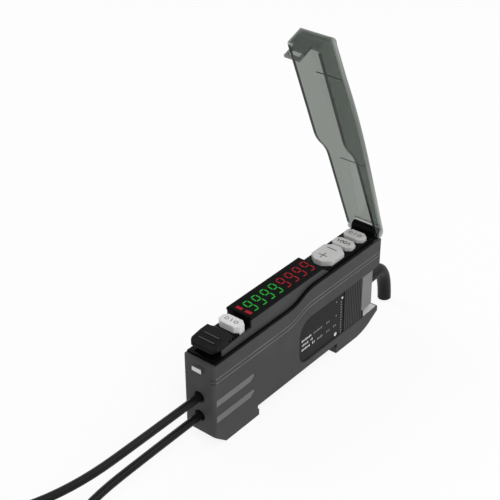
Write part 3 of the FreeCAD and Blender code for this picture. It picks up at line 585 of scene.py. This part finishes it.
def addHead(side):
    facts = sensorHead
    end = facts["length"]
    last = end + facts["tipLength"]
    crest = facts["bodyCrest"]
    chamfer = facts["chamfer"]
    # (distance along the head, radius), from the fibre's end to the lens
    steps = [(0, facts["faceRadius"]), (0.02, crest - chamfer), (0.25, crest), (0.8, crest)]
    steps += threadSteps(1.0, end - 0.4, crest, facts["bodyRoot"], facts["bodyPitch"])
    steps += [(end - 0.1, facts["bodyRoot"]), (end, facts["tipCrest"] + chamfer)]
    steps.append((end + 0.02, facts["tipRoot"]))
    root = facts["tipRoot"]
    steps += threadSteps(end + 0.2, last - 0.1, facts["tipCrest"], root, facts["tipPitch"])
    steps.append((last, root))
    head = turnProfile(side + "_threaded_head", steps)
    y, z = facts["places"][side]
    putAt(head, place(facts["startX"], y, z), (0, math.radians(-90), 0))
    head.data.materials.append(materials["platedMetal"])
    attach(head, "housing")
    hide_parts(side + "_head")
    return head


heads = {side: addHead(side) for side in ("emitter", "receiver")}
print("sensor heads turned")

# free cords: the power cable and the two fibres, each one spline
cordDetail = {"roundness": 6, "resolution": 8, "order": 3}
powerCable = {
    "points": [(62.6, 0, 12.5), (72.6, 0, 12.5), (83.3, 0, 12.9), (83.9, 0, 0.7)],
    "radius": 2.05,
}
fibres = {
    "radius": 1.1,
    "hankCentre": -106.0,
    "straight": 17.1,
    "outer": 8.8,
    "inner": 6.6,
    "rise": 2.25,
    "turnPoints": 6,
    "emitter": {
        "side": 1,
        "base": 12.5,
        "lead": [(18.5, 0, 14.7), (-17, 0, 14.7), (-45, 0.4, 14.8), (-66, 7.6, 16.6),
                 (-82.3, 8.8, 17.0)],
        "tail": [(-138, 8.5, 13.3), (-147.5, 6.6, 7.2), (-155, 5.1, 4.2), (-161.5, 4.6, 3.5)],
    },
    "receiver": {
        "side": -1,
        "base": 1.15,
        "lead": [(18.5, 0, 8.7), (-17, 0, 8.7), (-43, -0.4, 8.4), (-65, -7.5, 6.2),
                 (-82.3, -8.8, 5.65)],
        "tail": [(-139.5, -8.3, 3.3), (-151, -5.5, 3.4), (-161.5, -4.6, 3.5)],
    },
}


def cordCurve(name, points, radius, finish):
    data = bpy.data.curves.new(name, "CURVE")
    data.dimensions = "3D"
    data.bevel_depth = radius / 1000
    data.bevel_resolution = cordDetail["roundness"]
    data.resolution_u = cordDetail["resolution"]
    data.use_fill_caps = True
    spline = data.splines.new("NURBS")
    spline.points.add(len(points) - 1)
    for point, at in zip(spline.points, points):
        point.co = (*place(*at), 1)
    spline.order_u = cordDetail["order"]
    spline.use_endpoint_u = True
    data.materials.append(materials[finish])
    curve = bpy.data.objects.new(name, data)
    bpy.context.scene.collection.objects.link(curve)
    return curve


# every half turn: round one end, then along a straight, where the cord moves to its next slot; the
# points of a turn lie outside it, so that the spline runs at its radius
def hankPoints(side, base):
    slots = [("outer", level) for level in (2, 3, 4)]
    slots += [("inner", level) for level in (4, 3, 2, 1, 0)]
    slots += [("outer", level) for level in (0, 1)]
    half = []  # the slot at each half turn, far end first
    for i, slot in enumerate(slots):
        corner = i + 1 < len(slots) and slots[i + 1][0] != slot[0]
        before = i > 0 and slots[i - 1][0] != slot[0]
        half += [slot] if (corner or before or i == 0 or i == len(slots) - 1) else [slot, slot]
    points = []
    far = True
    centre = fibres["hankCentre"]
    apart = 180 / fibres["turnPoints"]
    for name, level in half:
        vertex = fibres[name] / math.cos(math.radians(apart / 2))
        z = base + level * fibres["rise"]
        for step in range(fibres["turnPoints"]):
            angle = math.radians(90 - apart / 2 - apart * step)
            x = vertex * math.cos(angle)
            y = vertex * math.sin(angle)
            if far:
                points.append((centre - fibres["straight"] - x, side * y, z))
            else:
                points.append((centre + fibres["straight"] + x, -side * y, z))
        far = not far
    return points


def cordLength(curve):
    plain = curve.data.copy()
    plain.bevel_depth = 0
    holder = bpy.data.objects.new("measure", plain)
    mesh = bpy.data.meshes.new_from_object(holder)
    points = [v.co.copy() for v in mesh.vertices]
    bpy.data.objects.remove(holder)
    return sum((b - a).length for a, b in zip(points, points[1:]))


cable = cordCurve("power_cable_run", powerCable["points"], powerCable["radius"], "cableJacket")
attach(cable, "housing")
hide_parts("power_cable")
cableLength = cordLength(cable)
print("power cable length", round(cableLength * 1000, 1))
for side in ("emitter", "receiver"):
    facts = fibres[side]
    points = facts["lead"] + hankPoints(facts["side"], facts["base"]) + facts["tail"]
    run = cordCurve(side + "_fibre_run", points, fibres["radius"], "fibreJacket")
    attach(run, "housing")
    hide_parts(side + "_fibre", side + "_fibre_hank", side + "_fibre_tail")
    print(side, "fibre length", round(cordLength(run) * 1000, 1))
print("cords laid")

# two ties hold the put-away hanks
tie = {
    "xs": (-115.6, -96.4),
    "width": 2.4,
    "wall": 0.35,
    "high": 22.9,
    "half": 10.15,
    "corner": 1.3,
    "overFloor": 0.01,
    "buckle": (3.4, 3.0, 1.1, 0.4),
    "buckleY": -7.7,
    "buckleSunk": 0.1,
}


def addTies():
    pieces = []
    for x in tie["xs"]:
        band = plateBlank(tie["high"], 2 * tie["half"], tie["width"], tie["corner"], tie["wall"])
        at = place(x - tie["width"] / 2, 0, tie["high"] / 2 + tie["overFloor"])
        pieces.append(putAt(band, at, (0, math.radians(90), 0)))
        buckle = plateBlank(*tie["buckle"])
        pieces.append(putAt(buckle, place(x, tie["buckleY"], tie["high"] - tie["buckleSunk"])))
    joinPieces(pieces, "hank_ties", "housing", "tieStrap")


addTies()
addCamera()
print("hanks tied, camera set")

# display: eight lit nines in two colours and two level bars, on the dark window; "acrossGap" is the
# share of the gap that the lying strokes keep
display = {
    "z": 32.19,
    "thickness": 0.04,
    "firstX": 19.95,
    "pitch": 3.4,
    "middleY": -0.6,
    "width": 1.8,
    "height": 4.45,
    "stroke": 0.40,
    "gap": 0.56,
    "acrossGap": 0.4,
    "slant": 0.12,
    "barX": 17.4,
    "bars": ((0.0, 2.0), (-3.0, -1.0)),
    "barWidth": 1.0,
    "barCorner": 0.12,
}


def addDigits():
    height = display["height"]
    width = display["width"]
    upright = segmentBlank(height / 2 - display["gap"], display["stroke"], display["thickness"])
    length = width - display["gap"] * display["acrossGap"]
    across = segmentBlank(length, display["stroke"], display["thickness"])
    putAt(across, (0, 0, 0), (0, 0, math.radians(90)))
    lean = math.atan(display["slant"])
    # (blank, place along the reading direction, place upwards), for a nine
    strokes = [(across, 0, height / 2), (across, 0, 0), (across, 0, -height / 2)]
    strokes += [(upright, -width / 2, height / 4)]
    strokes += [(upright, width / 2, height / 4), (upright, width / 2, -height / 4)]
    for colour, first in (("green", 0), ("red", 4)):
        pieces = []
        for i in range(first, first + 4):
            for blank, u, v in strokes:
                turn = (0, 0, -lean if blank is upright else 0)
                x = display["firstX"] + i * display["pitch"] + u + v * display["slant"]
                at = place(x, display["middleY"] + v, display["z"])
                pieces.append(putAt(copyOf(blank), at, turn))
        joinPieces(pieces, colour + "_digits", "housing", colour + "Lit")
    bars = []
    for low, high in display["bars"]:
        wide = display["barWidth"]
        bar = plateBlank(wide, high - low, display["thickness"], display["barCorner"])
        bars.append(putAt(bar, place(display["barX"], (low + high) / 2, display["z"])))
    joinPieces(bars, "level_bars", "housing", "redLit")
    for blank in (upright, across):
        bpy.data.objects.remove(blank)


addDigits()
print("display lit")

# key marks: a cross and a bar on the rocker, rows of plain shapes on the three keys; a row is its
# key, x, z, the shapes and how far they lie apart, the lean of its strokes and its ink
keyMarks = {
    "lift": 0.035,
    "crossLift": 1.1,
    "rockerZ": 31.3,
    "plusX": 52.0,
    "minusX": 56.1,
    "plusArm": 2.7,
    "minusLength": 3.2,
    "stroke": 0.34,
    "ring": 0.62,
    "ringHole": 0.38,
    "dash": (1.3, 0.26),
    "corner": 0.08,
    "middleY": 0.2,
    "rows": (
        ("set", 13.05, 31.3, ("ring", "stroke", "ring"), 1.5, 0.2, "dimInk"),
        ("mode", 61.4, 31.0, ("stroke", "ring", "ring", "stroke"), 1.2, 0.3, "blackInk"),
        ("select", 66.8, 31.0, ("ring", "stroke", "ring"), 1.5, -0.25, "greyInk"),
    ),
}


def markRow(x, z, shapes, spread, lean):
    pieces = []
    for i, shape in enumerate(shapes):
        y = (i - (len(shapes) - 1) / 2) * spread
        if shape == "ring":
            mark = discBlank(keyMarks["ring"], keyMarks["lift"], keyMarks["ringHole"])
            turn = 0
        else:
            mark = plateBlank(*keyMarks["dash"], keyMarks["lift"], keyMarks["corner"])
            turn = lean
        pieces.append(putAt(mark, place(x, y, z), (0, 0, turn)))
    return pieces


def addKeyMarks():
    lift = keyMarks["lift"]
    z = keyMarks["rockerZ"]
    arm = keyMarks["plusArm"]
    stroke = keyMarks["stroke"]
    corner = keyMarks["corner"]
    plus = place(keyMarks["plusX"], keyMarks["middleY"], z)
    minus = place(keyMarks["minusX"], keyMarks["middleY"], z)
    marks = [
        putAt(plateBlank(arm, stroke, lift, corner), plus),
        putAt(plateBlank(stroke, arm, lift * keyMarks["crossLift"], corner), plus),
        putAt(plateBlank(stroke, keyMarks["minusLength"], lift, corner), minus),
    ]
    joinPieces(marks, "rocker_marks", "rocker", "greyInk")
    for key, x, z, shapes, spread, lean, ink in keyMarks["rows"]:
        row = markRow(x, z, shapes, spread, lean)
        joinPieces(row, key + "_marks", key + "_button", ink)


addKeyMarks()
print("keys marked")

# side label: plain dashes in rows, two dots and a column of small ticks, printed on the near face
labelPrint = {
    "y": -4.62,
    "lift": 0.03,
    "dash": (0.34, 0.72),
    "dashCorner": 0.06,
    "shorter": 0.22,
    "pitch": 0.52,
    "bright": (((36.6, 41.0), 12.9), ((36.6, 39.7), 11.4), ((40.5, 41.6), 11.4),
               ((36.6, 40.4), 9.9), ((41.3, 42.7), 9.9)),
    "dim": (((41.9, 45.9), 12.9), ((47.7, 49.5), 12.9), ((43.6, 46.2), 9.9), ((47.8, 49.6), 9.9),
            ((51.0, 52.5), 9.9), ((52.1, 52.7), 17.6), ((52.1, 52.7), 13.0)),
    "dot": (52.3, 6.7, 0.6),
    "blob": (55.1, 17.6, 0.38),
    "column": (54.75, 16.4, 6.0, 13),
    "tick": (1.3, 0.5, 1),
}


def addLabelPrint():
    upright = (math.radians(90), 0, 0)
    width, height = labelPrint["dash"]
    blank = plateBlank(width, height, labelPrint["lift"], labelPrint["dashCorner"])
    for tone, ink in (("bright", "paleInk"), ("dim", "dimInk")):
        pieces = []
        for (start, end), z in labelPrint[tone]:
            count = max(1, int((end - start) / labelPrint["pitch"]))
            for i in range(count):
                x = start + (i + 0.5) * (end - start) / count
                # three heights in a fixed order, so that a row looks like uneven print
                tall = 1 - labelPrint["shorter"] * ((i * 7 + int(z)) % 3)
                at = place(x, labelPrint["y"], z)
                pieces.append(putAt(copyOf(blank), at, upright, (1, tall, 1)))
        if tone == "bright":
            for x, z, radius in (labelPrint["dot"], labelPrint["blob"]):
                disc = discBlank(radius, labelPrint["lift"])
                pieces.append(putAt(disc, place(x, labelPrint["y"], z), upright))
        else:
            x, top, bottom, count = labelPrint["column"]
            for i in range(count):
                z = top + (bottom - top) * i / (count - 1)
                at = place(x, labelPrint["y"], z)
                pieces.append(putAt(copyOf(blank), at, upright, labelPrint["tick"]))
        joinPieces(pieces, tone + "_label_print", "housing", ink)
    bpy.data.objects.remove(blank)


addLabelPrint()
print("label printed")

# case trim on both sides: two inlaid stripes, and a pale line of painted highlight in each groove
# under the rim; the grooves and the cover's rim both follow the case's step, a rise made of two
# parabolas
trim = {
    "half": 5.0,
    "stripeDepth": 0.15,
    "stripeSunk": 0.02,
    "stripe": ((1.0, 0.06), (14.5, 0.06), (15.95, 1.26), (15.8, 2.04), (1.0, 2.04)),
    "stripeBottoms": (13.05, 7.9),
    "grooveDrops": (4.14, 5.39),
    "lineWidth": 0.22,
    "lineDepth": 0.2,
    "grooveDepth": 0.22,
    "lineStart": 0.95,
    "frontHeight": 26.0,
    "riseStart": 29.2,
    "riseEnd": 41.2,
    "rise": 2.6,
    "rearEnd": 72.3,
    "steps": 10,
}


def addStripes():
    points = trim["stripe"]
    thickness = trim["stripeDepth"] - trim["stripeSunk"]
    pieces = []
    for bottom in trim["stripeBottoms"]:
        for side in (-1, 1):
            deselectAll()
            bpy.ops.mesh.primitive_circle_add(vertices=len(points), radius=0.01, fill_type="NGON")
            piece = bpy.context.object
            bpy.ops.object.mode_set(mode="EDIT")
            mesh = bmesh.from_edit_mesh(piece.data)
            mesh.verts.ensure_lookup_table()
            for vert, (x, z) in zip(mesh.verts, points):
                vert.co = Vector((x, z + bottom, 0)) / 1000
            bmesh.update_edit_mesh(piece.data)
            raiseBlank(thickness)
            y = side * (trim["half"] - trim["stripeDepth"]) + (thickness if side > 0 else 0)
            pieces.append(putAt(piece, place(0, y, 0), (math.radians(90), 0, 0)))
    joinPieces(pieces, "side_stripes", "housing", "stripePlastic")


def riseShare(x, start, end):
    share = min(1.0, max(0.0, (x - start) / (end - start)))
    return 2 * share * share if share < 0.5 else 1 - 2 * (1 - share) * (1 - share)


def riseStops(first, start, end, last):
    steps = trim["steps"]
    return [first] + [start + (end - start) * i / steps for i in range(steps + 1)] + [last]


def pathStrip(moves, width, depth):
    deselectAll()
    bpy.ops.mesh.primitive_plane_add(size=0.001)
    piece = bpy.context.object
    bpy.ops.object.mode_set(mode="EDIT")
    bpy.ops.transform.resize(value=(0.0001, width, 1))
    selectVerts(piece, lambda co: co.x > 0)
    for move in moves:
        step = tuple(way / 1000 for way in move)
        bpy.ops.mesh.extrude_region_move(TRANSFORM_OT_translate={"value": step})
    bpy.ops.mesh.select_all(action="SELECT")
    bpy.ops.mesh.remove_doubles(threshold=0.000001)
    return raiseBlank(depth)


def addGrooveHighlights():
    start, end = trim["riseStart"], trim["riseEnd"]
    stops = riseStops(trim["lineStart"], start, end, trim["rearEnd"])
    heights = [trim["frontHeight"] + trim["rise"] * riseShare(x, start, end) for x in stops]
    ends = list(zip(stops, heights))
    moves = [(b[0] - a[0], b[1] - a[1], 0) for a, b in zip(ends, ends[1:])]
    pieces = []
    for drop in trim["grooveDrops"]:
        for side in (-1, 1):
            # painted highlight: a pale strip laid into each groove
            strip = pathStrip(moves, trim["lineWidth"], trim["lineDepth"])
            y = side * (trim["half"] - trim["grooveDepth"]) + (trim["lineDepth"] if side > 0 else 0)
            at = place(stops[0], y, heights[0] - drop)
            pieces.append(putAt(strip, at, (math.radians(90), 0, 0)))
    joinPieces(pieces, "groove_highlights", "housing", "grooveHighlight")


addStripes()
addGrooveHighlights()

# small faces: the catch nub's bright face, the lever's two grip lines (x, z and slope in degrees),
# a near-black plate that paints the shade between the ribs, and the claw's pale top; "corner"
# rounds a plate's corners
nubFace = {"x": -0.72, "z": 23.02, "width": 3.04, "height": 1.2, "thickness": 0.1, "corner": 0.12}
paleGripStrips = {
    "lines": ((3.35, 30.61, 9.6), (5.35, 30.94, 0)),
    "width": 0.3,
    "length": 5.0,
    "lift": 0.05,
    "corner": 0.1,
}
ribShadePlates = {
    "start": 55.9,
    "end": 64.75,
    "low": 5.5,
    "high": 19.6,
    "y": 4.5,
    "lift": 0.06,
    "corner": 0.1,
}
clawPad = {
    "start": 65.6,
    "end": 71.9,
    "low": 5.62,
    "high": 5.86,
    "half": 4.9,
    "thickness": 0.12,
    "corner": 0.3,
}


def addSmallFaces():
    face = plateBlank(nubFace["height"], nubFace["width"], nubFace["thickness"], nubFace["corner"])
    at = place(nubFace["x"] + nubFace["thickness"], 0, nubFace["z"] + nubFace["height"] / 2)
    putAt(face, at, (0, math.radians(-90), 0))
    joinPieces([face], "catch_face", "housing", "paleFaceTone")
    grips = []
    for x, z, slope in paleGripStrips["lines"]:
        width, length = paleGripStrips["width"], paleGripStrips["length"]
        strip = plateBlank(width, length, paleGripStrips["lift"], paleGripStrips["corner"])
        grips.append(putAt(strip, place(x, 0, z), (0, math.radians(-slope), 0)))
    joinPieces(grips, "grip_lines", "lever", "paleGripStrips")
    # painted shade: a near-black plate on the recess floor on each side, seen only between the ribs
    shadePlates = []
    for side in (-1, 1):
        wide = ribShadePlates["end"] - ribShadePlates["start"]
        high = ribShadePlates["high"] - ribShadePlates["low"]
        back = plateBlank(wide, high, ribShadePlates["lift"], ribShadePlates["corner"])
        y = side * ribShadePlates["y"] + (ribShadePlates["lift"] if side > 0 else 0)
        middle = (ribShadePlates["start"] + ribShadePlates["end"]) / 2
        at = place(middle, y, ribShadePlates["low"] + high / 2)
        shadePlates.append(putAt(back, at, (math.radians(90), 0, 0)))
    joinPieces(shadePlates, "rib_gap_shade", "housing", "ribGapShade")
    length = clawPad["end"] - clawPad["start"]
    pad = plateBlank(length, 2 * clawPad["half"], clawPad["thickness"], clawPad["corner"])
    tilt = -math.atan((clawPad["high"] - clawPad["low"]) / length)
    at = place((clawPad["start"] + clawPad["end"]) / 2, 0, (clawPad["low"] + clawPad["high"]) / 2)
    putAt(pad, at, (0, tilt, 0))
    joinPieces([pad], "claw_pad", "housing", "paleFaceTone")


addSmallFaces()
print("trim added")

# cover: a dark line along each rim, cross lines at the two roof steps and a thin flap over the
# hinge, all drawn with the cover closed and then turned open with it
coverTrim = {
    "low": 26.7,
    "rimStart": 0.7,
    "riseStart": 30.6,
    "riseEnd": 42.6,
    "rimEnd": 70.2,
    "wallMiddle": 4.62,
    "rimWidth": 0.74,
    "rimDepth": {-1: 0.30, 1: 0.12},  # on the near and the far side
    "rimBelow": 0.055,
    "lift": 0.05,
    "crossX": (14.5, 46.5),
    "roofInside": (32.47, 32.68),
    "crossHalf": 4.15,
    "crossWidth": 0.28,
    "flap": (70.17, 72.6),
    "flapZ": 32.02,
    "flapHalf": 4.15,
    "flapThickness": 0.16,
    "corner": 0.1,
}


def turnOpen(piece):
    turn = Matrix.Rotation(math.radians(coverHinge["open"]), 4, "Y")
    pivot = place(coverHinge["x"], 0, coverHinge["z"])
    piece.data.transform(Matrix.Translation(pivot) @ turn @ Matrix.Translation(-pivot))
    return piece


def addCoverTrim():
    start, end = coverTrim["riseStart"], coverTrim["riseEnd"]
    stops = riseStops(coverTrim["rimStart"], start, end, coverTrim["rimEnd"])
    heights = [coverTrim["low"] + trim["rise"] * riseShare(x, start, end) for x in stops]
    ends = list(zip(stops, heights))
    moves = [(b[0] - a[0], 0, b[1] - a[1]) for a, b in zip(ends, ends[1:])]
    lines = []
    for side in (-1, 1):
        strip = pathStrip(moves, coverTrim["rimWidth"], coverTrim["rimDepth"][side])
        at = place(stops[0], side * coverTrim["wallMiddle"], heights[0] - coverTrim["rimBelow"])
        lines.append(turnOpen(putAt(strip, at)))
    for x, inside in zip(coverTrim["crossX"], coverTrim["roofInside"]):
        length = 2 * coverTrim["crossHalf"]
        cross = plateBlank(coverTrim["crossWidth"], length, coverTrim["lift"], coverTrim["corner"])
        lines.append(turnOpen(putAt(cross, place(x, 0, inside - coverTrim["lift"]))))
    joinPieces(lines, "cover_lines", "cover", "coverLine")
    low, high = coverTrim["flap"]
    width = 2 * coverTrim["flapHalf"]
    flap = plateBlank(high - low, width, coverTrim["flapThickness"], coverTrim["corner"])
    turnOpen(putAt(flap, place((low + high) / 2, 0, coverTrim["flapZ"])))
    joinPieces([flap], "cover_flap", "cover", "smokedPlastic")


addCoverTrim()
print("cover trimmed")

# floor, backdrop and lights
# "plainFloor" is the share of the floor's own shading, which carries the shadow, that the camera
# sees; each lamp has its place and size in metres and its power
stageLook = {
    "floor": 0.93,
    "floorRough": 0.9,
    "floorGloss": 0.1,
    "floorSize": 6,
    "floorZ": -0.0002,
    "plainFloor": 0.12,
    "sky": 0.42,
    "skyColour": (0.97, 0.985, 1.0),
    "aim": (0, 0, 0.03),
    "lamps": {
        "keyPanel": ((-0.35, -0.55, 0.75), 0.5, 4.2),
        "fillPanel": ((0.55, -0.35, 0.6), 0.6, 1.6),
        "rimPanel": ((-0.1, 0.7, 0.6), 0.5, 2.0),
    },
}


def cameraSees(tree):
    path = tree.nodes.new("ShaderNodeLightPath")
    glossy = tree.nodes.new("ShaderNodeMath")
    clear = tree.nodes.new("ShaderNodeMath")
    glossy.operation = "MAXIMUM"
    clear.operation = "MAXIMUM"
    tree.links.new(path.outputs["Is Camera Ray"], glossy.inputs[0])
    tree.links.new(path.outputs["Is Glossy Ray"], glossy.inputs[1])
    tree.links.new(glossy.outputs[0], clear.inputs[0])
    tree.links.new(path.outputs["Is Transmission Ray"], clear.inputs[1])
    return clear


# a floor that the camera sees as nearly white while it keeps the object's soft shadow
def paleFloor():
    material, tree, shader = newMaterial("paleFloor")
    shader.inputs["Base Color"].default_value = (stageLook["floor"],) * 3 + (1,)
    shader.inputs["Roughness"].default_value = stageLook["floorRough"]
    shader.inputs["Specular IOR Level"].default_value = stageLook["floorGloss"]
    seen = cameraSees(tree)
    share = tree.nodes.new("ShaderNodeMath")
    share.operation = "MULTIPLY"
    share.inputs[1].default_value = 1 - stageLook["plainFloor"]
    white = tree.nodes.new("ShaderNodeEmission")
    mix = tree.nodes.new("ShaderNodeMixShader")
    tree.links.new(seen.outputs[0], share.inputs[0])
    tree.links.new(share.outputs[0], mix.inputs["Fac"])
    tree.links.new(shader.outputs["BSDF"], mix.inputs[1])
    tree.links.new(white.outputs["Emission"], mix.inputs[2])
    tree.links.new(mix.outputs["Shader"], tree.nodes["Material Output"].inputs["Surface"])
    return material


def addWorld():
    world = bpy.data.worlds.new("studio")
    bpy.context.scene.world = world
    world.use_nodes = True
    tree = world.node_tree
    light = tree.nodes["Background"]
    light.inputs["Color"].default_value = (*stageLook["skyColour"], 1)
    light.inputs["Strength"].default_value = stageLook["sky"]
    white = tree.nodes.new("ShaderNodeBackground")
    white.inputs["Color"].default_value = (1, 1, 1, 1)
    mix = tree.nodes.new("ShaderNodeMixShader")
    tree.links.new(cameraSees(tree).outputs[0], mix.inputs["Fac"])
    tree.links.new(light.outputs["Background"], mix.inputs[1])
    tree.links.new(white.outputs["Background"], mix.inputs[2])
    tree.links.new(mix.outputs["Shader"], tree.nodes["World Output"].inputs["Surface"])


def addStage():
    deselectAll()
    at = (0, 0, stageLook["floorZ"])
    bpy.ops.mesh.primitive_plane_add(size=stageLook["floorSize"], location=at)
    floor = bpy.context.object
    floor.name = "studio_floor"
    floor.data.materials.append(paleFloor())
    addWorld()
    for name, (at, size, power) in stageLook["lamps"].items():
        data = bpy.data.lights.new(name, "AREA")
        data.size = size
        data.energy = power
        lamp = bpy.data.objects.new(name, data)
        bpy.context.scene.collection.objects.link(lamp)
        lamp.location = at
        away = Vector(at) - Vector(stageLook["aim"])
        lamp.rotation_euler = away.to_track_quat("Z", "Y").to_euler()


addStage()
bpy.context.scene.view_settings.view_transform = "Standard"
print("stage set")
